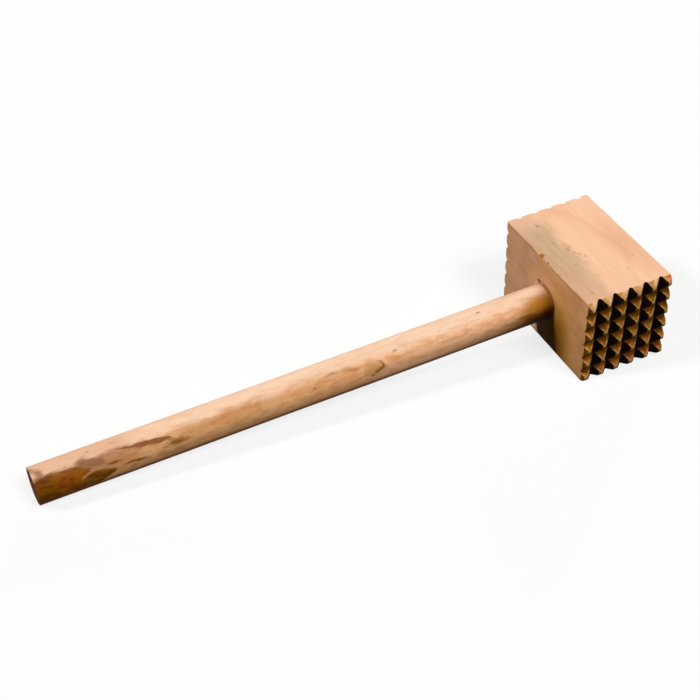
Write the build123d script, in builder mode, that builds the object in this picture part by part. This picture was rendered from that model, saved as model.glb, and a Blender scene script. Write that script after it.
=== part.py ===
from build123d import *
from math import ceil
import os

# Wooden meat mallet: a toothed block on a round handle, with a wedge in the handle's end.
# Millimetres. The mallet lies on one side of its block, as it does on a table.
# X is the striking direction, +Y runs along the handle from the butt to the block, +Z is up.
# The origin is the centre of the block's lower side.

# Block
head_length = 85.0
head_depth = 52.0
head_height = 54.0
edge_round = 0.8

# Teeth: two crossed sets of V grooves in each striking face.
# The level ones are as deep in both faces, the upright ones were set anew for each face.
tooth_pitch = 9.5
level_depth = 3.6
front_upright_depth = 4.4
back_upright_depth = 3.1
tip_wear = 0.3

# Middle of the first tooth on each striking face, from the handle side and from the top.
# The grooves weren't set out from the block's corners, so its last teeth are cut short.
front_tooth_from_side = 2.9
front_tooth_from_top = 4.4
back_tooth_from_side = 3.2
back_tooth_from_top = 2.5

# Handle: a straight dowel, eased a little where it goes through the block
handle_diameter = 20.0
handle_length = 342.0
butt_round = 1.2
tenon_ease = 0.05
kerf_depth = 34.0
kerf_bottom = 0.8

# Wedge
wedge_length = 30.0
wedge_thickness = 4.0

# Fits and cuts
bore_clearance = 0.1
bore_chamfer = 0.5
overrun = 5.0

# Derived places and sizes
handle_radius = handle_diameter / 2
tenon_radius = handle_radius - tenon_ease
bore_radius = handle_radius + bore_clearance
tip_x = head_length / 2
axis_z = head_height / 2
handle_side_y = -head_depth / 2
far_side_y = head_depth / 2
butt_y = far_side_y - handle_length

handle_side = Plane(origin=(0, handle_side_y, axis_z), x_dir=(1, 0, 0), z_dir=(0, -1, 0))
far_side = Plane(origin=(0, far_side_y, axis_z), x_dir=(-1, 0, 0), z_dir=(0, 1, 0))
butt_end = Plane(origin=(0, butt_y, axis_z), x_dir=(-1, 0, 0), z_dir=(0, 1, 0))
mid_height = Plane.XY.offset(axis_z)


def comb(near_edge, first_tooth, width, depth, step, side):
    """Outline of what one set of grooves takes from a face, as (distance out, distance along) points.

    The grooves start beyond near_edge and are counted in the direction of step, 1 or -1.
    The crests stand higher than the worn tips, so each tooth keeps a small flat on top.
    """
    crest = side * (tip_x + tip_wear)
    bottom = side * (tip_x - depth)
    outside = side * (tip_x + overrun)
    teeth = ceil(width / tooth_pitch) + 2
    points = []
    for i in range(-1, teeth):
        middle = near_edge + step * (first_tooth + i * tooth_pitch)
        points.append((crest, middle))
        points.append((bottom, middle + step * tooth_pitch / 2))
    return points[:-1] + [(outside, points[-2][1]), (outside, points[0][1])]


# Block: squared timber with rounded long edges, toothed at both ends and bored for the handle
with BuildPart() as head:
    with BuildSketch(Plane.YZ.offset(-tip_x)):
        with Locations((0, axis_z)):
            Rectangle(head_depth, head_height)
    extrude(amount=head_length)
    fillet(head.edges().filter_by(Axis.X), radius=edge_round)

    for side, from_side, from_top, upright_depth in (
        (1, front_tooth_from_side, front_tooth_from_top, front_upright_depth),
        (-1, back_tooth_from_side, back_tooth_from_top, back_upright_depth),
    ):
        upright_cuts = comb(handle_side_y, from_side, head_depth, upright_depth, 1, side)
        with BuildSketch(mid_height):
            with BuildLine():
                Polyline(*upright_cuts, close=True)
            make_face()
        extrude(amount=head_height / 2 + overrun, both=True, mode=Mode.SUBTRACT)

        level_cuts = comb(head_height, from_top, head_height, level_depth, -1, side)
        with BuildSketch(Plane.XZ):
            with BuildLine():
                Polyline(*level_cuts, close=True)
            make_face()
        extrude(amount=head_depth / 2 + overrun, both=True, mode=Mode.SUBTRACT)

    with Locations(handle_side):
        Hole(bore_radius)
    chamfer(head.edges().filter_by(GeomType.CIRCLE), length=bore_chamfer)
head.part.label = "head"

# Handle: the grip ends at the block, and the eased tenon goes through it to the far side
with BuildPart() as handle:
    with BuildSketch(butt_end):
        Circle(handle_radius)
    extrude(amount=handle_side_y - butt_y)
    fillet(handle.faces().sort_by(Axis.Y)[0].edges(), radius=butt_round)
    with BuildSketch(far_side):
        Circle(tenon_radius)
    extrude(amount=-head_depth)

    # Kerf: it narrows from the wedge's thickness at the far side to its bottom inside the block
    with BuildSketch(mid_height):
        with BuildLine():
            Polyline(
                (-wedge_thickness / 2, far_side_y),
                (wedge_thickness / 2, far_side_y),
                (kerf_bottom / 2, far_side_y - kerf_depth),
                (-kerf_bottom / 2, far_side_y - kerf_depth),
                close=True,
            )
        make_face()
    extrude(amount=handle_radius + overrun, both=True, mode=Mode.SUBTRACT)
handle.part.label = "handle"

# Wedge: it fills the kerf but for its bottom, and is cut off flush with the far side
taper = (wedge_thickness - kerf_bottom) / kerf_depth
wedge_tip = wedge_thickness - taper * wedge_length

with BuildPart() as wedge:
    with BuildSketch(mid_height):
        with BuildLine():
            Polyline(
                (-wedge_thickness / 2, far_side_y),
                (wedge_thickness / 2, far_side_y),
                (wedge_tip / 2, far_side_y - wedge_length),
                (-wedge_tip / 2, far_side_y - wedge_length),
                close=True,
            )
        make_face()
    extrude(amount=handle_radius, both=True)
    with BuildSketch(far_side):
        Circle(tenon_radius)
    extrude(amount=-head_depth, mode=Mode.INTERSECT)
wedge.part.label = "wedge"

os.makedirs("parts", exist_ok=True)
export_step(head.part, "parts/head.step")
export_step(handle.part, "parts/handle.step")
export_step(wedge.part, "parts/wedge.step")
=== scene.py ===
import math
from collections import namedtuple
from functools import reduce

import bpy
import numpy as np
from mathutils import Matrix, Vector


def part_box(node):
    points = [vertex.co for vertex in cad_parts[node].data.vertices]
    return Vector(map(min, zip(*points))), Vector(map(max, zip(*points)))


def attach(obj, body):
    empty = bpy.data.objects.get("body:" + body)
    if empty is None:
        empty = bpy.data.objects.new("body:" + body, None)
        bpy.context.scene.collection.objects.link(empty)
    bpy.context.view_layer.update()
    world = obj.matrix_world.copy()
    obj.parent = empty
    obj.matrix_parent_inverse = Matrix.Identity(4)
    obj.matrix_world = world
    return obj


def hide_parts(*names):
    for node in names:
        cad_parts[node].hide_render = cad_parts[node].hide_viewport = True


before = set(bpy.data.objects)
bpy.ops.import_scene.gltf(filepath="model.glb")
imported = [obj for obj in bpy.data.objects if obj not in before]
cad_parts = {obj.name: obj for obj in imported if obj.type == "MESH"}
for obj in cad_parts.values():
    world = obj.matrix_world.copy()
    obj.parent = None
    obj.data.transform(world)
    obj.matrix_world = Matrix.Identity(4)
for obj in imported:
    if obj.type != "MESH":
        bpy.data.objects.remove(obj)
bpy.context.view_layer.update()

# Wooden meat mallet: a toothed block, a round handle through it and a wedge in the handle's end.
# Meshes are worked out in millimetres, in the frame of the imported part, and written in metres.
MM = 0.001


def corners(node):
    """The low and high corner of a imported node, in millimetres."""
    low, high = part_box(node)
    return np.array(low) / MM, np.array(high) / MM


HEAD_LOW, HEAD_HIGH = corners("head")
HANDLE_LOW, HANDLE_HIGH = corners("handle")
WEDGE_LOW, WEDGE_HIGH = corners("wedge")

TIP_X = HEAD_HIGH[0]
SIDE_Y, FAR_Y = HEAD_LOW[1], HEAD_HIGH[1]
TOP_Z = HEAD_HIGH[2]
HEAD_DEPTH = FAR_Y - SIDE_Y
AXIS_Z = TOP_Z / 2
HANDLE_RADIUS = (HANDLE_HIGH[0] - HANDLE_LOW[0]) / 2
BUTT_Y = HANDLE_LOW[1]

# Teeth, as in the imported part. Each striking face has the middle of its first tooth from the handle
# side and from the top, the depth of its upright grooves, and a seed for its wear.
PITCH = 9.5
LEVEL_DEPTH = 3.6
TIP_WEAR = 0.3
Teeth = namedtuple("Teeth", "from_side from_top upright_depth seed")
FRONT = Teeth(2.9, 4.4, 4.4, 3)
BACK = Teeth(3.2, 2.5, 3.1, 8)

# Handle fits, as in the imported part
TENON_EASE = 0.05
TENON_RADIUS = HANDLE_RADIUS - TENON_EASE
BORE_CLEARANCE = 0.1
BORE_RADIUS = HANDLE_RADIUS + BORE_CLEARANCE
BORE_CHAMFER = 0.5
BUTT_ROUND = 1.2
KERF_DEPTH = 34.0
KERF_BOTTOM = 0.8

# Edges bent by more than this are shown sharp
SHARP_ANGLE = math.radians(38)

# Waves that a ripple is made of, and their lengths as shares of its size
WAVES = 8
WAVE_SPREAD = (0.8, 1.8)


def ripple(points, size, seed):
    """Smooth noise of about -1 to 1 that changes over a distance of about size."""
    rng = np.random.default_rng(seed)
    total = np.zeros(len(points))
    for _ in range(WAVES):
        direction = rng.normal(size=3)
        direction *= 2 * math.pi / (size * rng.uniform(*WAVE_SPREAD) * np.linalg.norm(direction))
        total += np.sin(points @ direction + rng.uniform(0, 2 * math.pi))
    return total / math.sqrt(WAVES)


def bump(distance, width):
    """1 at distance 0, falling to 0 at about width."""
    return np.exp(-((distance / (width / 2)) ** 2))


def smooth(value, low, high):
    """A smooth step from 0 to 1 as value goes from low to high."""
    t = np.clip((value - low) / (high - low), 0, 1)
    return t * t * (3 - 2 * t)


def soft_minimum(first, second, width):
    """The lower of two heights, with the corner between them rounded off below both."""
    overlap = np.clip(width - np.abs(first - second), 0, None)
    return np.minimum(first, second) - overlap**2 / (4 * width)


def make_piece(name, points, faces, materials, face_materials=None, values=None):
    """A mesh object from points in millimetres, smooth but for its sharp edges."""
    mesh = bpy.data.meshes.new(name)
    mesh.from_pydata((np.asarray(points) * MM).tolist(), [], [list(map(int, f)) for f in faces])
    for material in materials:
        mesh.materials.append(material)
    if face_materials is not None:
        mesh.polygons.foreach_set("material_index", np.asarray(face_materials, np.int32))
    for key, value in (values or {}).items():
        attribute = mesh.attributes.new(key, "FLOAT", "POINT")
        attribute.data.foreach_set("value", np.asarray(value, np.float32))
    mesh.shade_smooth()
    mesh.set_sharp_from_angle(angle=SHARP_ANGLE)
    piece = bpy.data.objects.new(name, mesh)
    bpy.context.scene.collection.objects.link(piece)
    return piece


def wear(points, faces, rounds, strength):
    """Rounds off what stands out, as handling does, and leaves hollows crisp.

    The strength is one number or one for each point. Returns the new points and how far each moved.
    """
    quads = np.asarray(faces)
    pairs = np.concatenate([quads[:, [0, 1]], quads[:, [1, 2]], quads[:, [2, 3]], quads[:, [3, 0]]])
    pairs = np.unique(np.sort(pairs, axis=1), axis=0)
    ends = np.concatenate([pairs[:, 0], pairs[:, 1]])
    others = np.concatenate([pairs[:, 1], pairs[:, 0]])
    count = len(points)
    neighbours = np.maximum(np.bincount(ends, minlength=count), 1)
    new = points.copy()
    for _ in range(rounds):
        mean = np.stack([np.bincount(ends, new[others, a], count) for a in range(3)], 1)
        mean /= neighbours[:, None]
        across = new[quads[:, 2]] - new[quads[:, 0]]
        other = new[quads[:, 3]] - new[quads[:, 1]]
        square = np.cross(across, other)
        normal = np.zeros_like(new)
        for corner in range(4):
            for a in range(3):
                normal[:, a] += np.bincount(quads[:, corner], square[:, a], count)
        normal /= np.maximum(np.linalg.norm(normal, axis=1), 1e-9)[:, None]
        lift = ((mean - new) * normal).sum(1)
        new += normal * (np.minimum(lift, 0) * strength)[:, None]
    return new, np.linalg.norm(new - points, axis=1)


def ring_at(unit, radius, y):
    """A ring round the handle's axis, from a ring of radius 1 and one radius, or one per point."""
    return unit * np.reshape(radius, (-1, 1)) + np.array([0, y, AXIS_Z])


def ring_faces(rings):
    """Faces between rings of point numbers, each with as many points."""
    rings = np.asarray(rings)
    after = np.roll(rings, -1, axis=1)
    quads = np.stack([rings[:-1], after[:-1], after[1:], rings[1:]], -1)
    return quads.reshape(-1, 4)


def sheet_faces(numbers, flip):
    """Faces over a grid of point numbers."""
    quads = np.stack([numbers[:-1, :-1], numbers[1:, :-1], numbers[1:, 1:], numbers[:-1, 1:]], -1)
    return quads[..., ::-1] if flip else quads


def skin_numbers(*shape):
    """Numbers of the points on the outside of a grid of that shape, with -1 for those inside it."""
    on_skin = np.ones(shape, bool)
    on_skin[1:-1, 1:-1, 1:-1] = False
    number = np.full(shape, -1)
    number[on_skin] = np.arange(on_skin.sum())
    return number


def skin_sheets(number):
    """Faces over a grid's six sides: near and far one, lower and upper one, and both ends."""
    return [
        sheet_faces(number[:, 0, :], False), sheet_faces(number[:, -1, :], True),
        sheet_faces(number[:, :, 0], True), sheet_faces(number[:, :, -1], False),
        sheet_faces(number[0], True), sheet_faces(number[-1], False),
    ]


# Block

# Mesh: lines over a toothed face and steps between them, steps from the plain sides out to the
# teeth, steps before, in and after the chipped stretch, and rings in the bore's collar and tube
HALF_PITCH_LINES = 11
HALF_PITCH_STEPS = 12
EDGE_STEPS = 8
END_STEPS = 6
ALONG_STEPS = (12, 48, 17)
COLLAR_RINGS = 7
TUBE_RINGS = 6

# Reach of the plain sides, of the chipped stretch and of the square collar round the bore
PLAIN_MARGIN = 0.9
PLAIN_X = TIP_X - FRONT.upright_depth - PLAIN_MARGIN
CHIPPED = (-19.0, 7.0)
COLLAR = 13.0

# Nick on the bore's rim
NICK_ANGLE = math.radians(-32)
NICK_WIDTH = math.radians(14)
NICK_DEPTH = 0.9
RIM_UNEVEN = 0.08

# Wear of the block's corners, and how far a point has moved where it shows in full
WEAR_ROUNDS = 4
WEAR_STRENGTH = 0.4
WEAR_VARIES = 0.15
WORN_SHOWS = 0.16

# Most teeth in a row, least and most that a tip lost, how widely ridges and tips are rounded, and
# how far the grooves wander
MOST_TEETH = 9
TIP_LOSS = (0.2, 0.9)
RIDGE_ROUND = 0.5
TIP_ROUND = 1.2
WANDER = 0.13

# Each look of the teeth fades in between two values: the depth below a tip, by how much the upright
# cut is the deeper one, the share of a facet's height for painted shade in the grooves and under the
# teeth, the depth below the level of the tips, and the place across a facet
TOP_FADE = (0.55, 0.25)
WALL_FADE = (-0.05, 0.4)
GROOVE_SHADE_SHARES = (0.44, 0.22)
UNDER_SHARES = (0.97, 0.85)
RIDGE_FADE = (3.6, 1.4)
GOLD_FADE = (-0.2, 0.25)


def stepped(marks, steps):
    """Places from the first mark to the last, with a number of even steps between each two."""
    parts = [np.linspace(a, b, n, endpoint=False) for a, b, n in zip(marks, marks[1:], steps)]
    return np.concatenate([*parts, marks[-1:]])


def lines_across(first, size):
    """Places of the mesh lines over a toothed face, with a line on each crest and groove."""
    marks = [0.0, *(first + i * PITCH / 2 for i in range(HALF_PITCH_LINES)), size]
    return stepped(marks, [EDGE_STEPS, *[HALF_PITCH_STEPS] * (HALF_PITCH_LINES - 1), EDGE_STEPS])


def lines_along():
    """Places of the mesh lines along the block, closest where its edge is chipped."""
    return stepped([-PLAIN_X, *CHIPPED, PLAIN_X], ALONG_STEPS)


def tooth_surface(from_side, from_top, teeth):
    """How far out a toothed face stands, and what it looks like there.

    burnt is painted shade on an upright groove's walls, grime is painted shade in the level grooves and
    under the teeth, rim is where the upper ridges are rubbed pale, clean is the outermost row of facets,
    under the top, painted paler as painted light, and gold is the browner half of each of those.
    """
    rng = np.random.default_rng(teeth.seed)
    share, number, half = [], [], []
    for place, middle in ((from_side, teeth.from_side), (from_top, teeth.from_top)):
        nearest = np.rint((place - middle) / PITCH)
        off = place - middle - nearest * PITCH
        share.append(1 - np.abs(off) / (PITCH / 2))
        number.append(nearest.astype(int))
        half.append(np.sign(off))
    to_left = -(1 - share[0]) * half[0]
    crest = TIP_X + TIP_WEAR
    upright = crest - (teeth.upright_depth + TIP_WEAR) * (1 - share[0])
    level = crest - (LEVEL_DEPTH + TIP_WEAR) * (1 - share[1])
    lost = rng.uniform(*TIP_LOSS, size=(MOST_TEETH, MOST_TEETH))
    tip = TIP_X - lost[number[0] + 1, number[1] + 1]
    out = soft_minimum(soft_minimum(upright, level, RIDGE_ROUND), tip, TIP_ROUND)
    top = smooth(tip - out, *TOP_FADE)

    wall = smooth(level - upright, *WALL_FADE) * (1 - 0.8 * top)
    # Painted shade: the upright grooves' walls are darkened, less on the first tooth's wall on the
    # handle side
    first_wall = (half[0] < 0) & (number[0] == 0)
    painted_wall_shade = wall * np.where(first_wall, 0.6, 1.0)
    # Painted light: the outermost row of facets, under the top, is marked to be painted paler
    lit_top_row = (number[1] == 0) & (half[1] <= 0)
    # Painted shade in the level grooves and on the facets under the teeth
    flat_place = np.stack([from_side, from_top, np.zeros(len(from_side))], 1)
    ragged = 0.07 * ripple(flat_place, size=2.5, seed=teeth.seed + 20)
    bottom = smooth(share[1] + ragged, *GROOVE_SHADE_SHARES) * (1 - lit_top_row)
    under = (half[1] > 0) * smooth(share[1], *UNDER_SHARES)
    painted_groove_shade = np.maximum(bottom, 0.8 * under) * (1 - wall)
    ridge = bump(level - upright + 0.2, 1.0) * smooth(TIP_X - out, *RIDGE_FADE)
    rim = np.where(half[1] <= 0, np.maximum(ridge, 0.6 * top), 0.4 * top)
    lit_top_row = lit_top_row * (1 - wall)
    looks = {"painted_wall_shade": painted_wall_shade, "painted_groove_shade": painted_groove_shade, "rim": rim, "lit_top_row": lit_top_row}
    return out, looks | {"gold": lit_top_row * smooth(to_left, *GOLD_FADE)}


def keep_ridges(quads, points):
    """Turns each face so that its diagonal runs along the ridge."""
    out = np.abs(points[quads][:, :, 0])
    turn = out[:, 1] + out[:, 3] > out[:, 0] + out[:, 2]
    return np.where(turn[:, None], np.roll(quads, -1, axis=1), quads)


def collar_lines(inner, mean_z):
    """The mesh lines, two along the block and two up it, that bound the collar round the bore."""
    along = np.searchsorted(inner, [-COLLAR, COLLAR]) + END_STEPS
    up = np.searchsorted(mean_z, [AXIS_Z - COLLAR, AXIS_Z + COLLAR])
    return [*along.tolist(), *up.tolist()]


def square_loop(u_low, u_high, w_low, w_high):
    """The crossings of mesh lines all the way round the collar."""
    loop = [(u, w_low) for u in range(u_low, u_high)]
    loop += [(u_high, w) for w in range(w_low, w_high)]
    loop += [(u, w_high) for u in range(u_high, u_low, -1)]
    return loop + [(u_low, w) for w in range(w_high, w_low, -1)]


def bore_rings(near, far):
    """Rings of points that run from the collar's near loop through the bore to the far loop."""
    angle = np.arctan2(near[:, 0], near[:, 2] - AXIS_Z)
    circle = np.stack([np.sin(angle), np.zeros(len(angle)), np.cos(angle)], 1)
    nick = NICK_DEPTH * bump(angle - NICK_ANGLE, NICK_WIDTH)
    uneven = RIM_UNEVEN * ripple(circle * HANDLE_RADIUS, size=5, seed=21)
    mouth = BORE_RADIUS + BORE_CHAMFER + uneven
    near_mouth, far_mouth = ring_at(circle, mouth + nick, SIDE_Y), ring_at(circle, mouth, FAR_Y)
    shares = np.arange(1, COLLAR_RINGS) / COLLAR_RINGS
    rings = [near * (1 - t) + near_mouth * t for t in shares]
    rings += [near_mouth, ring_at(circle, BORE_RADIUS + nick / 2, SIDE_Y + BORE_CHAMFER)]
    for y in np.linspace(SIDE_Y + 2 * BORE_CHAMFER, FAR_Y - BORE_CHAMFER, TUBE_RINGS):
        rings.append(ring_at(circle, BORE_RADIUS, y))
    return [*rings, far_mouth, *(far * (1 - t) + far_mouth * t for t in shares[::-1])]


def build_block(long_grain, end_grain):
    """The toothed block: a grid over its six sides, and the bore between two of them."""
    from_side = [lines_across(t.from_side, HEAD_DEPTH) for t in (FRONT, BACK)]
    from_top = [lines_across(t.from_top, TOP_Z)[::-1] for t in (FRONT, BACK)]
    inner = lines_along()
    steps = np.arange(1, END_STEPS + 1) / END_STEPS
    nominal = np.concatenate([-PLAIN_X - steps[::-1], inner, PLAIN_X + steps])
    share_out = np.concatenate([steps[::-1], np.zeros(len(inner)), steps])
    number = skin_numbers(len(nominal), len(from_side[0]), len(from_top[0]))
    i, j, k = np.nonzero(number >= 0)

    to_front = np.clip((nominal[i] + PLAIN_X) / (2 * PLAIN_X), 0, 1)
    side = from_side[1][j] + (from_side[0][j] - from_side[1][j]) * to_front
    top = from_top[1][k] + (from_top[0][k] - from_top[1][k]) * to_front
    front_out, front_looks = tooth_surface(from_side[0][j], from_top[0][k], FRONT)
    back_out, back_looks = tooth_surface(from_side[1][j], from_top[1][k], BACK)
    in_front = nominal[i] > 0
    end = np.where(in_front, front_out, back_out)
    plain = np.clip(nominal[i], -PLAIN_X, PLAIN_X)
    x = plain + np.sign(nominal[i]) * share_out[i] * (end - PLAIN_X)
    points = np.stack([x, SIDE_Y + side, TOP_Z - top], 1)
    looks = {key: np.where(in_front, front_looks[key], back_looks[key]) for key in front_looks}

    # Bore: the grid stops at a collar, and rings run from there to the mouth and through the block
    u_low, u_high, w_low, w_high = collar_lines(inner, TOP_Z - (from_top[0] + from_top[1]) / 2)
    u, w = np.transpose(square_loop(u_low, u_high, w_low, w_high))
    near_loop, far_loop = number[u, 0, w], number[u, -1, w]
    hole = bore_rings(points[near_loop], points[far_loop])
    first_new = len(points)
    rings = first_new + np.arange(len(hole) * len(u)).reshape(len(hole), -1)
    rings = np.stack([near_loop, *rings, far_loop])
    points = np.concatenate([points, *hole])
    looks = {key: np.pad(value, (0, len(points) - first_new)) for key, value in looks.items()}

    near, far, lower, upper, *ends = skin_sheets(number)
    outside = np.ones(near.shape[:2], bool)
    outside[u_low:u_high, w_low:w_high] = False
    sides = [near[outside], far[outside], lower, upper, ring_faces(rings)]
    sides = np.concatenate([s.reshape(-1, 4) for s in sides])
    ends = [keep_ridges(s.reshape(-1, 4), points) for s in ends]
    faces = np.concatenate([sides, *ends])
    kinds = np.repeat([0, 1], [len(sides), len(faces) - len(sides)])

    points = wander_grooves(points)
    points, looks["chip"] = chip_edges(points)
    strength = WEAR_STRENGTH + WEAR_VARIES * ripple(points, size=7, seed=5)
    points, moved = wear(points, faces, WEAR_ROUNDS, strength)
    looks["worn"] = np.clip(moved / WORN_SHOWS, 0, 1)
    return make_piece("toothed_block", points, faces, [long_grain, end_grain], kinds, looks)


def wander_grooves(points):
    """Bends the grooves a little, as hand-fed cuts run, and leaves the block's outline alone."""
    new = points.copy()
    inside = np.clip((np.abs(points[:, 0]) - PLAIN_X) / LEVEL_DEPTH, 0, 1)
    for axis, middle, half in ((1, 0.0, HEAD_DEPTH / 2), (2, AXIS_Z, TOP_Z / 2)):
        room = np.clip((half - np.abs(points[:, axis] - middle)) / (PITCH / 4), 0, 1)
        new[:, axis] += WANDER * inside * room * ripple(points, size=16, seed=30 + axis)
    return new


# Place along the edge between the top and the handle side, width and depth of each chip, and the
# slope that it is cut at
LONG_CHIPS = (
    (-15.3, 2.2, 0.7), (-7.0, 2.6, 1.3), (-5.6, 2.4, 1.5),
    (-2.8, 2.6, 0.6), (0.6, 3.4, 0.9), (4.0, 2.4, 0.5),
)
CHIP_SLOPE = 1.3

# How much is rubbed off every long edge, and how deep and how rare its small nicks are
RUBBED = 0.2
RUBBED_VARIES = 0.08
SMALL_NICK = 0.4
NICK_RARITY = 1.3


def chip_edges(points):
    """Rubs and nicks the long edges. Returns the points and how deep the chips are."""
    new, chip = points.copy(), np.zeros(len(points))
    x = points[:, 0]
    edges = [(y, z) for y in (SIDE_Y, FAR_Y) for z in (0.0, TOP_Z)]
    for number, (edge_y, edge_z) in enumerate(edges):
        beside, below = np.abs(points[:, 1] - edge_y), np.abs(points[:, 2] - edge_z)
        line = np.stack([x, np.full(len(x), 9.0 * number), np.zeros(len(x))], 1)
        rubbed = RUBBED + RUBBED_VARIES * ripple(line, size=9, seed=40 + number)
        nicks = SMALL_NICK * np.clip(ripple(line, size=6, seed=50 + number) - NICK_RARITY, 0, 1)
        if (edge_y, edge_z) == (SIDE_Y, TOP_Z):
            nicks += sum(depth * bump(x - place, width) for place, width, depth in LONG_CHIPS)
        short = np.clip(rubbed + nicks - beside - CHIP_SLOPE * below, 0, None)
        new[:, 1] += np.sign(-edge_y) * short / (1 + CHIP_SLOPE)
        new[:, 2] += (-1 if edge_z else 1) * short / (1 + CHIP_SLOPE)
        chip = np.maximum(chip, smooth(nicks, 0.3, 1.2) * smooth(short, 0.0, 0.35))
    return new, chip


# Handle

# The grip is sanded and uneven, but not for the last stretch before the block. It is cracked and
# swollen at its knot, and its butt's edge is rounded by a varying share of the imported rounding.
SANDED = 0.09
UNEVEN = 0.04
FULL_STRETCH = 2.0
CRACK_DEPTH = 0.25
KNOT_Y = -131.0
KNOT_ANGLE = math.radians(75)
KNOT_WIDTH = 16.0
KNOT_SWELL = 0.1
BUTT_INSET = 0.1
ROUND_SHARE = 0.62
ROUND_SHARE_VARIES = 0.2

# Mesh: points round the handle, radii of the rings on its butt and on its sawn end, angles of those
# round the butt's edge, and first place, end and step of each stretch of rings along it
AROUND = 128
BUTT_RADII = (1.5, 3.5, 5.5, 7.5, 8.6)
END_RADII = (TENON_RADIUS - 0.25, 7.0, 4.0, 1.5)
BUTT_BENDS = np.radians(np.linspace(0, 75, 6))
FIGURED_Y = -236.0
KNOT_REACH = 8.0
STRETCHES = (
    (BUTT_Y + BUTT_ROUND, FIGURED_Y, 0.55),
    (FIGURED_Y, KNOT_Y - KNOT_REACH, 1.25),
    (KNOT_Y - KNOT_REACH, KNOT_Y + KNOT_REACH, 0.45),
    (KNOT_Y + KNOT_REACH, SIDE_Y, 1.0),
    (SIDE_Y + 0.5, FAR_Y - 0.5, 2.0),
)
LAST_RING_Y = FAR_Y - 0.3

# Brown heartwood, streaks and flecks. Each mark has a softness and a share of its colour, then either
# a patch's outline, of (place along the handle, angle from its top) points, or a stroke's spine,
# which has its half width as a third number.
FIGURE = {
    "amber": (
        (1.6, 1.0, (
            (-322, 38), (-315.5, 37.3), (-312.8, 31.8), (-310.2, 28.8), (-308.2, 27.4),
            (-305.1, 31.0), (-302.2, 31.8), (-298.6, 35.3), (-294.7, 33.0), (-292.8, 36.0),
            (-290.4, 43.0), (-287.6, 49.0), (-289.0, 58.0), (-291.7, 64.5), (-294.3, 69.0),
            (-293.8, 80), (-289.8, 100), (-287, 118), (-296, 150), (-322, 158),
        )),
    ),
    "olive": (
        (2.0, 1.0, (
            (-294.6, 73.5), (-290.9, 67.8), (-286.8, 64.9), (-282.5, 65.7), (-278.2, 69.5), (-275.3, 77),
            (-276.6, 86), (-280.4, 96), (-286.2, 116), (-296, 112), (-298, 90),
        )),
        (1.4, 0.8, ((-280.2, 54.6, 0.3), (-277.4, 57.1, 0.6), (-275.2, 57, 0.6), (-272.9, 56.9, 0.3))),
        (3.5, 0.75, (
            (-247.8, 51), (-243.6, 51), (-240.0, 58), (-235.8, 65.5),
            (-241.5, 76), (-246.0, 76), (-248.8, 67),
        )),
        (2.0, 0.6, ((-251.5, 69, 0.4), (-247.4, 69.5, 0.7))),
        (2.5, 0.8, ((-273.4, 79.8, 0.4), (-269.2, 75.7, 0.8), (-265.2, 76.7, 0.8), (-260, 77, 0.4))),
        (4.5, 0.45, ((-268, 92, 1.0), (-255, 92, 1.8), (-240, 94, 1.0))),
    ),
    "knot": (
        (5.0, 0.75, (
            (-140.6, 46), (-135.6, 42), (-131.5, 46), (-127, 62),
            (-127, 76), (-132.7, 86), (-140.4, 80),
        )),
        (6.0, 0.4, ((-262, 60, 1.5), (-250, 80, 2.5), (-236, 80, 1.5))),
    ),
    "mauve": (
        (4.5, 0.9, (
            (-296.0, 20), (-293.0, 14.5), (-290.2, 15), (-285.8, 23.0), (-281.6, 39.5), (-278.7, 52),
            (-283.0, 53), (-286.9, 52), (-289.4, 50.0), (-292.6, 38), (-295.3, 28),
        )),
        (4.0, 0.7, ((-315.5, -4, 1.6), (-313.2, 8, 2.2), (-312.2, 20, 2.2), (-313.8, 32, 1.6))),
        (4.0, 0.6, ((-270.6, 31, 0.6), (-262, 41, 1.2), (-252, 46, 1.0))),
        (4.0, 0.35, ((-166, 24, 0.8), (-154, 36, 1.2), (-146, 42, 1.6), (-137, 46, 1.2))),
    ),
    "pale": (
        (2.2, 0.85, ((-251.0, 59.5, 0.6), (-248.6, 58, 1.0))),
        (1.0, 0.6, ((-294.3, 70, 0.2), (-290.7, 64.2, 0.5), (-286.7, 62, 0.6), (-282.3, 62, 0.4))),
    ),
    "rust": (
        (1.5, 1.0, (
            (-273.5, 23), (-270.2, 24.0), (-264.9, 27.8), (-258.9, 28.2), (-253.8, 33.5), (-247.2, 39.5),
            (-245.4, 51.5), (-253.6, 47.5), (-259.8, 42.0), (-265.5, 37.0), (-270.7, 31.3),
        )),
        (0.8, 0.8, ((-313, 31, 0.3), (-308.2, 26.5, 0.4), (-303, 31, 0.3), (-294.8, 33, 0.5))),
        (1.4, 0.5, ((-287.5, -1, 0.5), (-286.4, -1, 0.5))),
        (1.4, 0.45, ((-275.6, -1, 0.5), (-273.6, -1, 0.5))),
        (1.4, 0.75, ((-121.8, 30, 0.5), (-120.2, 31, 0.6))),
        (1.2, 0.6, ((-69.4, 5, 0.5), (-68.3, 6, 0.5))),
    ),
    "orange": (
        (4.0, 0.4, ((-184, 40, 0.8), (-176.5, 52, 1.6), (-169.5, 54, 0.8))),
        (4.0, 0.8, ((-129, 38), (-122.0, 38), (-118, 56), (-124.5, 64))),
    ),
    "dark": (
        (0.7, 0.85, (
            (-132.5, 40.6, 0.1), (-130.7, 44.9, 0.25), (-129, 56.9, 0.5),
            (-128.9, 65.7, 0.65), (-130.8, 70.6, 0.75), (-133.7, 75.8, 0.75),
        )),
        (1.0, 0.8, ((-136.1, 81, 0.6), (-134.9, 81.2, 0.6))),
        (0.8, 0.7, ((-168.8, 57, 0.4), (-167.9, 57.5, 0.4))),
    ),
}
CRACK = FIGURE["dark"][0][2]


def on_paper(mark):
    """The points of a mark on the handle's surface laid out flat, in millimetres."""
    return np.array([[y, math.radians(angle) * HANDLE_RADIUS] for y, angle, *_ in mark])


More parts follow.
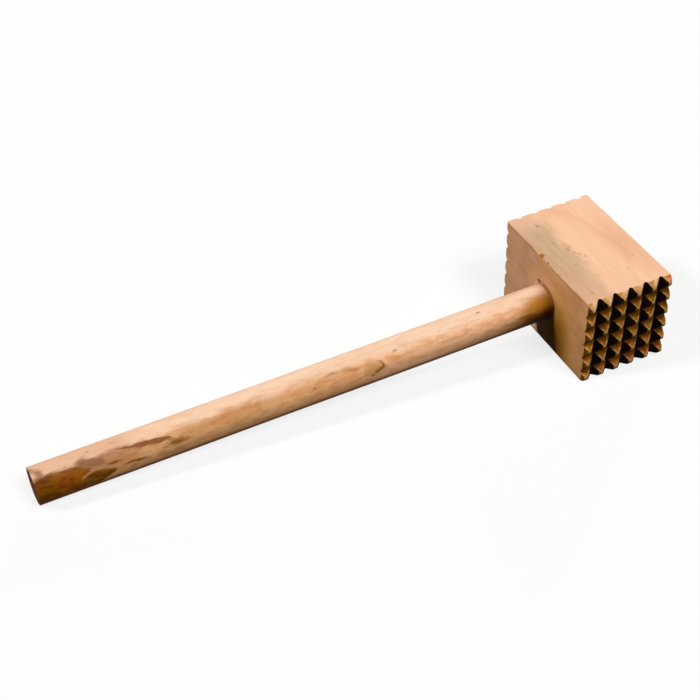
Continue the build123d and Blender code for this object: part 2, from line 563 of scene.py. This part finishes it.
def inside_outline(along, angle, outline):
    """How deep inside a patch each place of the handle's surface lies, in millimetres."""
    here = np.stack([along, angle * HANDLE_RADIUS], -1)
    nearest, inside = np.full(along.shape, np.inf), np.zeros(along.shape, bool)
    corner = on_paper(outline)
    for a, b in zip(corner, np.roll(corner, -1, axis=0)):
        t = np.clip(((here - a) @ (b - a)) / ((b - a) @ (b - a)), 0, 1)
        nearest = np.minimum(nearest, np.linalg.norm(here - a - t[..., None] * (b - a), axis=-1))
        if a[1] == b[1]:
            continue
        level_with = (a[1] > here[..., 1]) != (b[1] > here[..., 1])
        inside ^= level_with & ((here - a)[..., 0] < (here - a)[..., 1] * (b - a)[0] / (b - a)[1])
    return np.where(inside, nearest, -nearest)


def inside_stroke(along, angle, spine):
    """How deep inside a stroke each place of the handle's surface lies, in millimetres."""
    here = np.stack([along, angle * HANDLE_RADIUS], -1)
    deepest = np.full(along.shape, -np.inf)
    place, wide = on_paper(spine), [point[2] for point in spine]
    for a, b, wide_a, wide_b in zip(place, place[1:], wide, wide[1:]):
        t = np.clip(((here - a) @ (b - a)) / ((b - a) @ (b - a)), 0, 1)
        away = np.linalg.norm(here - a - t[..., None] * (b - a), axis=-1)
        deepest = np.maximum(deepest, wide_a + (wide_b - wide_a) * t - away)
    return deepest


def figure_values(points):
    """How much of each figure colour the handle has at each point."""
    angle = np.arctan2(points[:, 0], points[:, 2] - AXIS_Z)
    stretched = points * [1.0, 0.35, 1.0]
    along = 0.4 * ripple(stretched, size=3.0, seed=70) + 0.25 * ripple(stretched, size=1.2, seed=71)
    across = 0.2 * ripple(stretched, size=2.5, seed=72) + 0.1 * ripple(stretched, size=1.0, seed=73)
    values = {}
    for colour, marks in FIGURE.items():
        values[colour] = np.zeros(len(points))
        ragged = 0.2 if colour == "dark" else 1.0
        place = points[:, 1] + ragged * along, angle + ragged * across / HANDLE_RADIUS
        for soft, share, mark in marks:
            inside = (inside_outline if len(mark[0]) == 2 else inside_stroke)(*place, mark)
            values[colour] = np.maximum(values[colour], share * smooth(inside, -soft / 2, soft / 2))
    return values


def radius_at(y, turn, unit):
    """The handle's radius at a place along it: one number, or one for each point round it."""
    if y > SIDE_Y:
        return TENON_RADIUS
    if y >= SIDE_Y - FULL_STRETCH:
        return HANDLE_RADIUS
    place = ring_at(unit, HANDLE_RADIUS, y)
    radius = HANDLE_RADIUS - SANDED + UNEVEN * ripple(place * [1, 0.15, 1], size=9, seed=61)
    in_crack = inside_stroke(np.full(AROUND, y), turn, CRACK)
    radius -= CRACK_DEPTH * smooth(in_crack, -0.6, 0.3)
    from_knot = (turn - KNOT_ANGLE) * HANDLE_RADIUS
    return radius + KNOT_SWELL * bump(y - KNOT_Y, KNOT_WIDTH) * bump(from_knot, KNOT_WIDTH)


def build_handle(long_grain, end_grain):
    """The handle: a sanded dowel with a worn butt, a knot, an eased tenon and the wedge's kerf."""
    turn = np.linspace(-math.pi, math.pi, AROUND, endpoint=False)
    unit = np.stack([np.sin(turn), np.zeros(AROUND), np.cos(turn)], 1)
    flat = BUTT_Y + BUTT_INSET
    share = ROUND_SHARE + ROUND_SHARE_VARIES * ripple(unit * HANDLE_RADIUS, size=8, seed=60)
    rounding = BUTT_ROUND * share
    rings = [ring_at(unit, radius, flat) for radius in BUTT_RADII]
    for bend in BUTT_BENDS:
        ring = ring_at(unit, HANDLE_RADIUS - rounding * (1 - np.sin(bend)), flat)
        ring[:, 1] += rounding * (1 - np.cos(bend))
        rings.append(ring)
    places = [*np.concatenate([np.arange(*stretch) for stretch in STRETCHES]), LAST_RING_Y]
    rings += [ring_at(unit, radius_at(y, turn, unit), y) for y in places]
    rings += [ring_at(unit, radius, FAR_Y) for radius in END_RADII]

    count = len(rings)
    numbers = np.arange(count * AROUND).reshape(count, AROUND)
    points = np.concatenate([*rings, [[0, flat, AXIS_Z], [0, FAR_Y, AXIS_Z]]])
    butt, end = count * AROUND, count * AROUND + 1
    after = np.roll(numbers, -1, axis=1)
    faces = ring_faces(numbers).tolist()
    kinds = np.zeros((count - 1, AROUND))
    kinds[: len(BUTT_RADII)] = 1
    kinds[-len(END_RADII):] = 1
    faces += [[butt, b, a] for a, b in zip(numbers[0], after[0])]
    faces += [[end, a, b] for a, b in zip(numbers[-1], after[-1])]
    kinds = [*kinds.ravel(), *[1] * (2 * AROUND)]
    values = figure_values(points)
    handle = make_piece("round_handle", points, faces, [long_grain, end_grain], kinds, values)
    cut_kerf(handle)
    return handle


def kerf_half_width(y):
    """Half the kerf's width at a place along the handle."""
    wide = WEDGE_HIGH[0] - WEDGE_LOW[0]
    return (wide - (wide - KERF_BOTTOM) * (FAR_Y - y) / KERF_DEPTH) / 2


def cut_kerf(handle):
    """Saws the kerf for the wedge into the handle's end."""
    beyond = 2.0
    points = []
    for y in (FAR_Y - KERF_DEPTH, FAR_Y + beyond):
        for x, z in ((-1, -1), (1, -1), (1, 1), (-1, 1)):
            points.append([x * kerf_half_width(y), y, AXIS_Z + z * (HANDLE_RADIUS + beyond)])
    faces = [[0, 1, 2, 3], [7, 6, 5, 4], [0, 4, 5, 1], [1, 5, 6, 2], [2, 6, 7, 3], [3, 7, 4, 0]]
    cutter = make_piece("kerf_cutter", points, faces, [])
    cut = handle.modifiers.new("kerf", "BOOLEAN")
    cut.operation, cut.solver, cut.object = "DIFFERENCE", "EXACT", cutter
    graph = bpy.context.evaluated_depsgraph_get()
    mesh = bpy.data.meshes.new_from_object(handle.evaluated_get(graph))
    handle.modifiers.clear()
    handle.data = mesh
    mesh.set_sharp_from_angle(angle=SHARP_ANGLE)
    bpy.data.objects.remove(cutter)


# Wedge

# Mesh lines across, along and up the wedge, and how its edges are crushed
WEDGE_LINES = (9, 41, 49)
CRUSH_ROUNDS = 3
CRUSH_STRENGTH = 0.5


def build_wedge(long_grain):
    """The wedge: it fills the kerf, and its edges are crushed where it was cut off flush."""
    across, along, upright = WEDGE_LINES
    number = skin_numbers(across, along, upright)
    i, j, k = np.nonzero(number >= 0)
    y = WEDGE_LOW[1] + (WEDGE_HIGH[1] - WEDGE_LOW[1]) * j / (along - 1)
    x = kerf_half_width(y) * (2 * i / (across - 1) - 1)
    z = AXIS_Z + (2 * k / (upright - 1) - 1) * np.sqrt(TENON_RADIUS**2 - x**2)
    points = np.stack([x, y, z], 1)
    faces = np.concatenate([s.reshape(-1, 4) for s in skin_sheets(number)])
    points, _ = wear(points, faces, CRUSH_ROUNDS, CRUSH_STRENGTH)
    return make_piece("end_wedge", points, faces, [long_grain])


# Materials

def shade(red, green, blue):
    """A colour as a screen shows it, from 0 to 255, turned into a linear one."""
    part = [v / 255 for v in (red, green, blue)]
    return (*(v / 12.92 if v <= 0.04045 else ((v + 0.055) / 1.055) ** 2.4 for v in part), 1.0)


class Paint:
    """A node material, with a method for each kind of node. Its colour is put on layer by layer."""

    def __init__(self, name, roughness, specular):
        self.material = bpy.data.materials.new(name)
        self.material.use_nodes = True
        self.tree = self.material.node_tree
        self.shader = self.tree.nodes["Principled BSDF"]
        self.shader.inputs["Roughness"].default_value = roughness
        self.shader.inputs["Specular IOR Level"].default_value = specular
        scale = self.node("ShaderNodeVectorMath", operation="SCALE")
        self.put(scale.inputs[0], self.node("ShaderNodeTexCoord").outputs["Object"])
        scale.inputs["Scale"].default_value = 1 / MM
        parts = self.node("ShaderNodeSeparateXYZ")
        self.put(parts.inputs[0], scale.outputs[0])
        self.x, self.y, self.z = parts.outputs

    def node(self, kind, **settings):
        node = self.tree.nodes.new(kind)
        for key, value in settings.items():
            setattr(node, key, value)
        return node

    def put(self, socket, value):
        """Gives a socket a link, a number, or a colour written as for shade."""
        if isinstance(value, bpy.types.NodeSocket):
            self.tree.links.new(value, socket)
        else:
            socket.default_value = shade(*value) if isinstance(value, tuple) else value

    def math(self, operation, *values):
        node = self.node("ShaderNodeMath", operation=operation)
        for socket, value in zip(node.inputs, values):
            self.put(socket, value)
        return node.outputs[0]

    def add(self, *values):
        return reduce(lambda total, value: self.math("ADD", total, value), values)

    def times(self, *values):
        return reduce(lambda total, value: self.math("MULTIPLY", total, value), values)

    def distance(self, first, second):
        """Distance from the origin of two coordinates."""
        return self.math("SQRT", self.add(self.times(first, first), self.times(second, second)))

    def stretched(self, *factors):
        """The place, squeezed or stretched along each axis."""
        node = self.node("ShaderNodeCombineXYZ")
        for socket, part, factor in zip(node.inputs, (self.x, self.y, self.z), factors):
            self.put(socket, self.times(part, factor))
        return node.outputs[0]

    def noise(self, factors, detail=3.0, roughness=0.55):
        """Noise that changes as often in a millimetre as each axis's factor says."""
        node = self.node("ShaderNodeTexNoise")
        self.put(node.inputs["Vector"], self.stretched(*factors))
        for key, value in (("Scale", 1.0), ("Detail", detail), ("Roughness", roughness)):
            node.inputs[key].default_value = value
        return node.outputs["Fac"]

    def shift(self, noise, size):
        """A shift to either side, by noise from 0 to 1."""
        return self.times(self.add(noise, -0.5), size)

    def span(self, value, low, high, start=0.0, end=1.0):
        """A smooth step from start to end as value goes from low to high."""
        node = self.node("ShaderNodeMapRange", interpolation_type="SMOOTHSTEP")
        ends = (("From Min", low), ("From Max", high), ("To Min", start), ("To Max", end))
        for key, item in (("Value", value), *ends):
            self.put(node.inputs[key], item)
        return node.outputs[0]

    def zone(self, *fades):
        """The product of smooth steps. Each fade is a value and a list of the limits of its spans."""
        return self.times(*(self.span(value, *span) for value, spans in fades for span in spans))

    def attribute(self, name):
        return self.node("ShaderNodeAttribute", attribute_name=name).outputs["Fac"]

    def mix(self, share, first, second, kind="MIX"):
        node = self.node("ShaderNodeMix", data_type="RGBA", blend_type=kind)
        for number, value in ((0, share), (6, first), (7, second)):
            self.put(node.inputs[number], value)
        return node.outputs[2]

    def darken(self, share, tint):
        """Multiplies the colour by a tint, by as much as share says."""
        self.colour = self.mix(share, self.colour, tint, "MULTIPLY")

    def cover(self, share, tint):
        """Covers the colour with another one, by as much as share says."""
        self.colour = self.mix(share, self.colour, tint)

    def spot(self, first, second, place, size, tilt=0.0, soft=0.5):
        """1 inside an oval at place, on a surface measured by first and second, and 0 outside it."""
        a = self.math("SUBTRACT", first, place[0])
        b = self.math("SUBTRACT", second, place[1])
        cos, sin = math.cos(math.radians(tilt)), math.sin(math.radians(tilt))
        along = self.times(self.add(self.times(a, cos), self.times(b, sin)), 2 / size[0])
        across = self.times(self.add(self.times(a, -sin), self.times(b, cos)), 2 / size[1])
        return self.span(self.distance(along, across), 1 + soft, 1 - soft)

    def rings(self, first, second, bend, scale):
        """Growth rings round a pith line, whose distances are first and second."""
        node = self.node("ShaderNodeTexNoise", noise_dimensions="1D")
        self.put(node.inputs["W"], self.add(self.distance(first, second), bend))
        node.inputs["Scale"].default_value = scale
        node.inputs["Detail"].default_value = 3.0
        return node.outputs["Fac"]

    def finish(self, height, depth):
        """Connects the colour, and a bump of that depth in millimetres."""
        self.put(self.shader.inputs["Base Color"], self.colour)
        node = self.node("ShaderNodeBump")
        node.inputs["Strength"].default_value = 0.5
        node.inputs["Distance"].default_value = depth * MM
        self.put(node.inputs["Height"], height)
        self.put(self.shader.inputs["Normal"], node.outputs[0])
        return self.material


# Flecks on the block's top: place, size and tilt
TOP_FLECKS = (
    ((-3.4, -10.5), (2.4, 1.0), 20), ((0.2, -8.6), (2.6, 0.9), 35), ((2.4, -7.0), (2.2, 0.9), 10),
    ((5.2, -5.3), (1.8, 0.8), 25), ((-5.5, -8.0), (1.4, 0.8), 60), ((-12.0, -14.5), (1.6, 0.7), 0),
    ((9.5, -14.0), (1.8, 0.7), 15), ((-29.0, -14.0), (3.2, 1.4), 10), ((24.0, 9.0), (1.4, 0.6), 0),
    ((16.0, 17.5), (1.3, 0.6), 10), ((33.0, -19.0), (1.6, 0.8), 0),
)

# Painted shade on the block's handle side, beside the handle's cast shadow and lower down, and a darker
# lower edge: spans that each tone fades in over along the block, those up it, and its tint
SIDE_SHADE_TONES = (
    ([(2.0, 12.0)], [(50.0, 10.0)], (228, 222, 210)),
    ([(4.0, 9.0), (34.0, 14.0)], [(52.0, 16.0, 0.0, 0.9)], (255, 246, 70)),
    ([(4.0, 9.0), (32.0, 12.0)], [(42.0, 6.0)], (110, 88, 30)),
    ([], [(2.4, 0.4, 0.0, 0.5)], (190, 176, 150)),
)


def block_long_grain():
    """The planed sides of the block: pale beech with its grain along the striking direction."""
    p = Paint("block_long_grain", roughness=0.7, specular=0.05)
    broad = p.noise((0.02, 0.07, 0.07))
    fibre = p.noise((0.04, 1.1, 1.1), 5.0, 0.65)
    p.colour = p.mix(p.span(broad, 0.35, 0.65), (247, 196, 158), (251, 203, 165))
    bend = p.times(p.noise((0.012, 0.03, 0.03), 2.0), 14.0)
    ring = p.rings(p.add(p.y, 9.0), p.add(p.z, 30.0), bend, 0.42)
    p.darken(p.span(ring, 0.5, 0.72, 0.0, 0.3), (240, 224, 212))
    p.darken(p.span(fibre, 0.45, 0.75, 0.0, 0.3), (230, 210, 194))

    # A greyer band of figure runs along the top, near the handle side
    from_edge = p.add(p.y, p.shift(p.noise((0.09, 0.2, 0.2), 5.0, 0.65), 14.0))
    on_top = p.span(p.z, TOP_Z - 2.0, TOP_Z - 0.6)
    band = p.times(p.span(from_edge, -5.5, -14.0), p.span(p.x, -42.0, -24.0, 0.35, 1.0), on_top)
    p.darken(p.times(band, p.span(p.x, 10.0, 44.0, 1.0, 0.7)), (227, 229, 231))
    core = p.times(band, p.span(from_edge, -27.0, -18.0, 0.4, 1.0), p.span(p.x, 2.0, 26.0, 1.0, 0.2))
    cloudy = p.span(p.noise((0.06, 0.3, 0.3), 4.0), 0.3, 0.6, 0.5, 1.0)
    core = p.times(core, p.span(p.x, -32.0, -20.0), cloudy)
    p.darken(core, (236, 242, 230))
    pink = p.spot(p.x, p.y, (11.0, 21.0), (50.0, 16.0), 10, 0.9)
    p.darken(p.times(pink, on_top), (246, 238, 234))

    # The handle side is warmer, with painted shade beside the handle's shadow, and darker along its
    # lower edge
    on_side = p.span(p.y, SIDE_Y + 0.8, SIDE_Y + 0.2)
    toned = p.mix(p.span(p.x, -6.0, 10.0), (246, 238, 224), (252, 236, 206))
    p.darken(on_side, toned)
    patches = p.span(p.noise((0.07, 0.09, 0.09), 4.0), 0.42, 0.62, 0.0, 0.6)
    p.darken(p.times(on_side, patches), (234, 224, 212))
    # Painted shade beside the handle's cast shadow and lower down, and a darker lower edge
    for along, upwards, tint in SIDE_SHADE_TONES:
        side_shade = p.times(on_side, p.zone((p.x, along), (p.z, upwards)))
        p.darken(side_shade, tint)

    flecks = p.noise((0.35, 2.2, 2.2), 1.0)
    p.darken(p.span(flecks, 0.74, 0.80, 0.0, 0.4), (190, 150, 120))
    for place, size, tilt in TOP_FLECKS:
        mark = p.times(p.spot(p.x, p.y, place, size, tilt, 0.7), on_top)
        p.darken(p.times(mark, 0.7), (206, 168, 138))
    p.cover(p.span(p.attribute("worn"), 0.1, 0.7, 0.0, 0.6), (255, 222, 184))
    p.cover(p.span(p.attribute("chip"), 0.1, 0.8, 0.0, 0.95), (178, 104, 36))

    # Dark glue and dirt round the bore's mouth, and in the nick on its rim
    from_axis = p.distance(p.x, p.add(p.z, -AXIS_Z))
    seat = p.times(p.span(from_axis, BORE_RADIUS + 2.0, BORE_RADIUS + 0.6), p.span(p.x, -9.0, 1.0))
    at_mouth = p.span(p.y, SIDE_Y + 1.5, SIDE_Y + 0.5)
    p.cover(p.times(at_mouth, seat, 0.55), (112, 70, 24))
    nick = p.spot(p.x, p.z, (-6.0, 36.8), (3.4, 2.0), 20, 0.5)
    p.cover(p.times(at_mouth, nick, 0.85), (122, 62, 28))
    return p.finish(p.add(fibre, p.times(flecks, -0.3)), 0.1)


def block_end_grain():
    """The toothed ends: amber end grain with painted shade in the grooves, pale on worn ridges."""
    p = Paint("block_end_grain", roughness=0.8, specular=0.03)
    pores = p.noise((0.25, 2.6, 2.6), 3.0, 0.7)
    patch = p.noise((0.05, 0.11, 0.11), 2.0)
    small = p.noise((0.3, 0.3, 0.3), 2.0)
    p.colour = p.mix(p.span(patch, 0.35, 0.65), (175, 103, 18), (161, 108, 15))
    redder = p.times(p.span(p.z, 24.0, 6.0), p.span(p.y, -20.0, 10.0, 0.3, 1.0))
    p.cover(p.times(redder, 0.65), (196, 98, 42))
    p.cover(p.span(p.y, SIDE_Y + 6.0, SIDE_Y + 3.0, 0.0, 0.5), (202, 122, 38))
    p.darken(p.span(small, 0.42, 0.66, 0.0, 0.6), (196, 186, 130))
    p.darken(p.span(pores, 0.45, 0.75, 0.0, 0.6), (190, 160, 130))

    # Painted light: the outermost row of facets is covered with a paler colour
    speckle = p.noise((0.5, 0.5, 0.5), 3.0)
    lit_top_row = p.mix(p.span(small, 0.42, 0.66), (250, 200, 156), (232, 170, 96))
    gold = p.times(p.attribute("gold"), p.span(speckle, 0.35, 0.6, 0.4, 1.0))
    lit_top_row = p.mix(gold, lit_top_row, (196, 132, 44))
    reddish = p.times(p.span(p.y, FAR_Y - 5.0, FAR_Y - 2.0), p.span(speckle, 0.3, 0.6, 0.4, 1.0))
    lit_top_row = p.mix(reddish, lit_top_row, (206, 118, 72))
    p.cover(p.times(p.attribute("lit_top_row"), 0.95), lit_top_row)
    rim = p.times(p.attribute("rim"), p.span(pores, 0.3, 0.6, 0.75, 1.0))
    p.cover(p.times(rim, 0.8), (246, 198, 124))
    # Painted shade in the level grooves and under the teeth
    groove_shade_share = p.times(p.attribute("painted_groove_shade"), p.span(small, 0.3, 0.6, 0.8, 1.0))
    p.cover(p.times(groove_shade_share, 0.94), (94, 52, 6))
    # Painted shade, nearly black, on the upright grooves' walls
    wall_shade = p.times(p.attribute("painted_wall_shade"), p.span(patch, 0.2, 0.5, 0.92, 1.0))
    p.cover(wall_shade, (22, 11, 7))
    return p.finish(pores, 0.15)


# Colours of the handle's figure, in the order that they are laid on
FIGURE_COLOURS = {
    "orange": (234, 166, 108),
    "amber": (154, 86, 14),
    "mauve": (154, 106, 72),
    "knot": (212, 156, 98),
    "olive": (140, 90, 16),
    "pale": (194, 148, 98),
    "rust": (148, 92, 50),
}

# Tones of the handle's side, warmer and darker below as painted shade, and browner towards the butt:
# spans that each fades in over along the handle, those of the angle from its top in degrees, and its
# tint
LOWER_PART = (14, 48)
HANDLE_TONES_AND_SHADE = (
    ([(-300.0, -262.0, 0.7, 1.0)], [LOWER_PART], (255, 236, 216)),
    ([(-126.0, -150.0)], [LOWER_PART], (249, 242, 222)),
    ([(-182.0, -206.0), (-262.0, -240.0)], [LOWER_PART], (240, 239, 231)),
    ([(-255.0, -275.0)], [], (240, 229, 223)),
    ([(-248.0, -276.0)], [(16, 32), (76, 60)], (208, 204, 200)),
    ([(-250.0, -236.0), (-132.0, -160.0)], [(14, 38), (64, 46)], (241, 237, 236)),
)

# Painted shade on the handle next to the block, darkest below: one span along the handle, one of the
# angle, the share that it covers, or 0 where it darkens what is there, and its colour
JOINT_SHADE_TONES = (
    ((-92.0, -45.0), (60, 96), 0, (190, 182, 150)),
    ((-50.0, -32.0), (-8, 28), 0, (216, 206, 192)),
    ((-54.0, -36.0), (18, 46), 0.94, (174, 110, 20)),
    ((-47.0, -31.0), (48, 84), 0.85, (134, 84, 10)),
    ((-60.0, -38.0), (62, 98), 0, (100, 78, 16)),
)


def handle_long_grain():
    """The handle's round side: pale beech with its grain along it, brown heartwood and a knot."""
    p = Paint("handle_long_grain", roughness=0.65, specular=0.06)
    up = p.add(p.z, -AXIS_Z)
    broad = p.noise((0.09, 0.012, 0.09))
    fibre = p.noise((1.1, 0.035, 1.1), 5.0, 0.65)
    mottle = p.noise((0.22, 0.05, 0.22), 4.0, 0.6)
    p.colour = p.mix(p.span(broad, 0.35, 0.65), (250, 207, 171), (254, 216, 184))
    bend = p.times(p.noise((0.05, 0.012, 0.05), 2.0), 10.0)
    ring = p.rings(p.add(p.x, 22.0), p.add(p.z, 6.0), bend, 0.5)
    p.darken(p.span(ring, 0.5, 0.7, 0.0, 0.1), (234, 216, 200))
    p.darken(p.span(fibre, 0.45, 0.75, 0.0, 0.15), (228, 208, 192))
    blotch = p.noise((0.4, 0.13, 0.4), 4.0, 0.6)
    p.darken(p.span(blotch, 0.4, 0.66, 0.0, 0.3), (238, 214, 198))

    # Tones, along an uneven angle from the top and, at the block, an uneven place
    ragged = p.add(p.shift(mottle, 0.45), p.shift(blotch, 0.3))
    angle = p.times(p.add(p.math("ARCTAN2", p.x, up), ragged), math.degrees(1))
    # Painted shade: warmer, darker lower part, mottled in places; the wood browns towards the butt
    for reaches, turns, tint in HANDLE_TONES_AND_SHADE:
        p.darken(p.zone((p.y, reaches), (angle, turns)), tint)
    lower_mottled_shade = p.times(p.span(angle, *LOWER_PART), p.span(blotch, 0.42, 0.62, 0.0, 0.4))
    p.darken(lower_mottled_shade, (230, 206, 184))
    # Painted shade on the handle next to the block, darkest below
    near = p.add(p.y, p.shift(mottle, 12.0))
    for reach, turn, share, tint in JOINT_SHADE_TONES:
        joint_shade = p.times(p.span(near, *reach), p.span(angle, *turn))
        if share:
            p.cover(p.times(joint_shade, share), tint)
        else:
            p.darken(joint_shade, tint)
    seat = p.times(p.span(p.y, SIDE_Y - 1.9, SIDE_Y - 0.7), p.span(p.x, -9.0, 0.0))
    p.cover(p.times(seat, p.span(angle, 75, 45, 0.4, 1.0), 0.9), (194, 128, 60))

    # Heartwood, knot, streaks and flecks, with feathered edges
    feather = p.add(p.shift(fibre, 0.5), p.shift(blotch, 0.9))
    for name, tint in FIGURE_COLOURS.items():
        value = p.attribute(name)
        shown = p.times(p.span(p.add(value, feather), 0.1, 0.9), p.span(value, 0.0, 0.15))
        p.cover(shown, tint)
    p.cover(p.attribute("dark"), (144, 86, 18))
    patch = p.times(p.attribute("olive"), p.span(p.y, -270.0, -277.0))
    heart = p.math("MAXIMUM", p.attribute("amber"), patch)
    reddish = p.times(p.attribute("amber"), p.span(angle, 52, 34), 0.7)
    p.cover(reddish, (146, 92, 48))
    p.darken(p.times(heart, p.span(blotch, 0.42, 0.6)), (206, 192, 150))
    handled = p.times(heart, p.span(p.y, -302.0, -309.0), p.span(angle, 32, 46))
    p.darken(handled, (214, 222, 110))
    # Painted shade: the handle's underside is darkened
    p.darken(p.span(up, -1.5, -4.2, 0.0, 0.7), (120, 88, 64))
    specks = p.noise((2.0, 0.3, 2.0), 1.0)
    p.darken(p.span(specks, 0.74, 0.80, 0.0, 0.4), (196, 156, 126))
    return p.finish(fibre, 0.08)


def handle_end_grain():
    """The handle's sawn ends: rings, pores, a darker grimy rim, and painted shade on the butt."""
    p = Paint("handle_end_grain", roughness=0.75, specular=0.04)
    ring = p.rings(p.add(p.x, 22.0), p.add(p.z, 6.0), 0.0, 0.6)
    pores = p.noise((2.4, 0.3, 2.4), 3.0, 0.7)
    p.colour = p.mix(p.span(ring, 0.35, 0.65), (150, 100, 58), (186, 134, 84))
    p.darken(p.span(pores, 0.45, 0.75, 0.0, 0.6), (180, 150, 124))
    # Painted shade: the butt's end face is darkened
    p.darken(p.span(p.y, SIDE_Y, BUTT_Y), (116, 92, 74))
    from_axis = p.distance(p.x, p.add(p.z, -AXIS_Z))
    p.darken(p.span(from_axis, 5.5, 9.4, 0.0, 0.9), (110, 84, 66))
    return p.finish(pores, 0.12)


def wedge_grain():
    """The wedge: darker hardwood."""
    p = Paint("wedge_grain", roughness=0.6, specular=0.2)
    fibre = p.noise((1.6, 0.25, 0.5), 4.0, 0.65)
    p.colour = p.mix(p.span(fibre, 0.35, 0.7), (142, 96, 54), (104, 66, 34))
    return p.finish(fibre, 0.12)


# Pieces

block = build_block(block_long_grain(), block_end_grain())
handle = build_handle(handle_long_grain(), handle_end_grain())
wedge = build_wedge(wedge_grain())
for piece, node in ((block, "head"), (handle, "handle"), (wedge, "wedge")):
    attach(piece, "root")
    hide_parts(node)


# Floor and lights. The mallet tips onto the block's lower edge beside the handle, and onto the butt,
# so the floor rises from that edge to the underside of the butt.

FLOOR_HALF = 3.0
FLOOR_SLOPE = (AXIS_Z - HANDLE_RADIUS) / (SIDE_Y - BUTT_Y)
FLOOR_BOUNCE = shade(41, 37, 33)
FLOOR_PAINT = shade(250, 250, 250)
FLOOR_GLOW = 0.8
WHITE = (1, 1, 1, 1)
WORLD_LIGHT = 0.012

# Lamps: the direction that the light comes from, the level of white that it gives a surface that
# faces it, and its width in degrees
LAMPS = {
    "key": ((-0.14, -0.70, 0.70), 0.60, 8),
    "fill": ((0.56, 0.22, 0.80), 0.645, 22),
    "rim": ((-0.75, 0.65, 0.10), 0.50, 25),
}


def floor_height(y):
    """Height of the floor at a place along the handle, in metres."""
    return (SIDE_Y * MM - y) * FLOOR_SLOPE


def white_for_camera(tree, dim, white, output):
    """Shows a white shader to the camera, and in mirrors and glass, and a dim one to other rays."""
    path = tree.nodes.new("ShaderNodeLightPath")
    seen = path.outputs["Is Camera Ray"]
    for kind in ("Is Glossy Ray", "Is Transmission Ray"):
        more = tree.nodes.new("ShaderNodeMath")
        more.operation = "MAXIMUM"
        tree.links.new(seen, more.inputs[0])
        tree.links.new(path.outputs[kind], more.inputs[1])
        seen = more.outputs[0]
    pick = tree.nodes.new("ShaderNodeMixShader")
    for source, socket in zip((seen, dim.outputs[0], white.outputs[0]), pick.inputs):
        tree.links.new(source, socket)
    tree.links.new(pick.outputs[0], tree.nodes[output].inputs[0])


def floor_material():
    """Pale floor: white to the camera, where it keeps the object's shadow, and grey in its bounce."""
    material = bpy.data.materials.new("pale_floor")
    material.use_nodes = True
    tree = material.node_tree
    grey = tree.nodes["Principled BSDF"]
    grey.inputs["Base Color"].default_value = FLOOR_BOUNCE
    grey.inputs["Roughness"].default_value = 1.0
    grey.inputs["Specular IOR Level"].default_value = 0.0
    matt = tree.nodes.new("ShaderNodeBsdfDiffuse")
    matt.inputs["Color"].default_value = FLOOR_PAINT
    glow = tree.nodes.new("ShaderNodeEmission")
    glow.inputs["Strength"].default_value = 1.0
    white = tree.nodes.new("ShaderNodeMixShader")
    white.inputs[0].default_value = FLOOR_GLOW
    tree.links.new(matt.outputs[0], white.inputs[1])
    tree.links.new(glow.outputs[0], white.inputs[2])
    white_for_camera(tree, grey, white, "Material Output")
    return material


def build_floor():
    """A wide floor under the mallet, tipped as the mallet lies on it."""
    mesh = bpy.data.meshes.new("floor")
    ends = ((-1, -1), (1, -1), (1, 1), (-1, 1))
    square = [(x * FLOOR_HALF, y * FLOOR_HALF, floor_height(y * FLOOR_HALF)) for x, y in ends]
    mesh.from_pydata(square, [], [(0, 1, 2, 3)])
    mesh.materials.append(floor_material())
    floor = bpy.data.objects.new("floor", mesh)
    bpy.context.scene.collection.objects.link(floor)


def build_world(strength):
    """White to the camera, and a dim even light on the object."""
    world = bpy.data.worlds.new("studio")
    bpy.context.scene.world = world
    world.use_nodes = True
    tree = world.node_tree
    dim = tree.nodes["Background"]
    dim.inputs["Color"].default_value = WHITE
    dim.inputs["Strength"].default_value = strength
    white = tree.nodes.new("ShaderNodeBackground")
    white.inputs["Color"].default_value = WHITE
    white_for_camera(tree, dim, white, "World Output")


def build_lamp(name, towards, level, width):
    """A far lamp in the direction towards, that lights a surface facing it to that level of white."""
    lamp = bpy.data.lights.new(name, "SUN")
    lamp.energy = level * math.pi
    lamp.angle = math.radians(width)
    thing = bpy.data.objects.new(name, lamp)
    thing.rotation_mode = "QUATERNION"
    thing.rotation_quaternion = Vector(towards).to_track_quat("Z", "Y")
    bpy.context.scene.collection.objects.link(thing)


build_floor()
build_world(WORLD_LIGHT)
for name, (towards, level, width) in LAMPS.items():
    build_lamp(name, towards, level, width)


# Camera, solved from the photograph: its place in metres, its azimuth, elevation and roll in
# degrees, and its lens and sensor in millimetres

CAMERA_PLACE = (0.4930, -0.3725, 0.5417)
CAMERA_ANGLES = (65.119, 42.612, 2.318)
CAMERA_LENS = 73.85
CAMERA_SENSOR = 36.0
CAMERA_CLIP = (0.01, 20.0)


def build_camera():
    """The camera: it looks down at the front toothed face, with the handle towards it."""
    azimuth, elevation, roll = map(math.radians, CAMERA_ANGLES)
    flat = math.cos(elevation)
    back = Vector((math.sin(azimuth) * flat, -math.cos(azimuth) * flat, math.sin(elevation)))
    level = (-back).cross(Vector((0, 0, 1))).normalized()
    down = (-back).cross(level)
    right = math.cos(roll) * level + math.sin(roll) * down
    up = math.sin(roll) * level - math.cos(roll) * down
    camera = bpy.data.cameras.new("camera")
    camera.lens = CAMERA_LENS
    camera.sensor_width = CAMERA_SENSOR
    camera.clip_start, camera.clip_end = CAMERA_CLIP
    thing = bpy.data.objects.new("camera", camera)
    turn = Matrix((right, up, back)).transposed().to_4x4()
    thing.matrix_world = Matrix.Translation(CAMERA_PLACE) @ turn
    bpy.context.scene.collection.objects.link(thing)
    bpy.context.scene.camera = thing


build_camera()
bpy.context.scene.view_settings.view_transform = "Standard"
